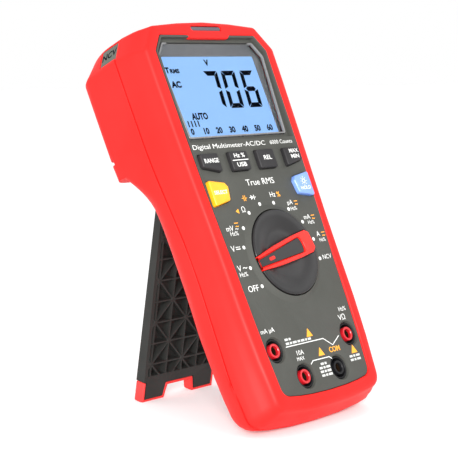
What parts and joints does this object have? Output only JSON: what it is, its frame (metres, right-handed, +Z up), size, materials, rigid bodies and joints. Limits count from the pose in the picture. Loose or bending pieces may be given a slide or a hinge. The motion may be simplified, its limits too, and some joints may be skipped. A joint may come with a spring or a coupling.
{
  "type": "handheld digital multimeter",
  "caption": "Handheld digital multimeter with a rotary selector, display, function keys, safety input jacks and a fold-out tilt stand, leaning on its opened stand.",
  "frame": {"origin": "centre of the box's base, on the surface the instrument stands on", "axes": "+Z up; the face looks towards -Y and up; +X to the right of someone reading the display"},
  "size_m": [0.0908, 0.1108, 0.1757],
  "materials": {
    "red_shell": "satin moulded shell",
    "panel_plastic": "fine grained grey",
    "key_grey": "soft dark grey",
    "key_yellow": "soft yellow",
    "key_blue": "soft blue",
    "knob_grey": "satin dark grey",
    "knob_red": "satin red",
    "stand_plastic": "moulded charcoal",
    "foot_rubber": "soft red rubber",
    "lens_clear": "clear polished window",
    "display_glass": "light blue display",
    "white_plastic": "natural white",
    "smoke_lens": "smoked lens",
    "black_plastic": "black moulding",
    "jack_red": "red sleeve",
    "circuit_board": "solder mask",
    "brass": "plated contact",
    "steel": "plain",
    "silicone": "soft silicone",
    "ceramic": "fuse body",
    "cell_wrap": "plain wrapped cell"
  },
  "bodies": {
    "case": {"front_bezel": "red_shell", "rear_shell": "red_shell", "battery_door": "red_shell", "front_panel": "panel_plastic", "ncv_sensor_cover": "panel_plastic", "display_lens": "lens_clear", "lcd_module": "display_glass", "lcd_backlight": "white_plastic", "zebra_strip": "silicone", "indicator_lens": "smoke_lens", "main_pcb": "circuit_board", "keypad_mat": "silicone", "main_ic": "black_plastic", "buzzer": "black_plastic", "detent_spring": "steel", "battery_tray": "black_plastic", "battery_plate_lower": "steel", "battery_plate_upper": "steel", "fuse_10a": "ceramic", "fuse_ma": "ceramic", "door_screw": "steel", "cell_1": "cell_wrap", "case_screw_1": "steel", "cell_2": "cell_wrap", "case_screw_2": "steel", "cell_3": "cell_wrap", "case_screw_3": "steel", "cell_4": "cell_wrap", "case_screw_4": "steel", "fuse_10a_clip_left": "brass", "fuse_10a_clip_right": "brass", "fuse_ma_clip_left": "brass", "fuse_ma_clip_right": "brass", "jack_housing_ma": "black_plastic", "jack_sleeve_ma": "jack_red", "jack_contact_ma": "brass", "jack_housing_volt": "black_plastic", "jack_sleeve_volt": "jack_red", "jack_contact_volt": "brass", "jack_housing_10a": "black_plastic", "jack_sleeve_10a": "jack_red", "jack_contact_10a": "brass", "jack_housing_com": "black_plastic", "jack_sleeve_com": "black_plastic", "jack_contact_com": "brass"},
    "stand": {"tilt_stand": "stand_plastic", "stand_foot_trim": "foot_rubber"},
    "selector": {"selector_knob": "knob_grey", "knob_lever": "knob_red", "knob_inlay": "knob_grey", "switch_rotor": "white_plastic", "rotor_wiper": "brass"},
    "key_range_body": {"key_range": "key_grey"},
    "key_frequency_body": {"key_frequency": "key_grey"},
    "key_relative_body": {"key_relative": "key_grey"},
    "key_max_min_body": {"key_max_min": "key_grey"},
    "key_select_body": {"key_select": "key_yellow"},
    "key_hold_body": {"key_hold": "key_blue"}
  },
  "joints": [
    {"name": "stand_hinge", "type": "hinge", "parent": "case", "child": "stand", "pos_m": [0, 0.02255, 0.10789], "axis": [-1, 0, 0], "range_deg": [0, 34]},
    {"name": "selector_turn", "type": "hinge", "parent": "case", "child": "selector", "pos_m": [0, -0.02716, 0.07316], "axis": [0, -0.9129, 0.4082], "range_deg": [-202.5, 22.5]},
    {"name": "key_range_press", "type": "slide", "parent": "case", "child": "key_range_body", "axis": [0, 0.9129, -0.4082], "range_m": [0, 0.0009], "stiffness_N_per_m": 600, "springref_m": -0.0005},
    {"name": "key_frequency_press", "type": "slide", "parent": "case", "child": "key_frequency_body", "axis": [0, 0.9129, -0.4082], "range_m": [0, 0.0009], "stiffness_N_per_m": 600, "springref_m": -0.0005},
    {"name": "key_relative_press", "type": "slide", "parent": "case", "child": "key_relative_body", "axis": [0, 0.9129, -0.4082], "range_m": [0, 0.0009], "stiffness_N_per_m": 600, "springref_m": -0.0005},
    {"name": "key_max_min_press", "type": "slide", "parent": "case", "child": "key_max_min_body", "axis": [0, 0.9129, -0.4082], "range_m": [0, 0.0009], "stiffness_N_per_m": 600, "springref_m": -0.0005},
    {"name": "key_select_press", "type": "slide", "parent": "case", "child": "key_select_body", "axis": [0, 0.9129, -0.4082], "range_m": [0, 0.0009], "stiffness_N_per_m": 600, "springref_m": -0.0005},
    {"name": "key_hold_press", "type": "slide", "parent": "case", "child": "key_hold_body", "axis": [0, 0.9129, -0.4082], "range_m": [0, 0.0009], "stiffness_N_per_m": 600, "springref_m": -0.0005}
  ]
}
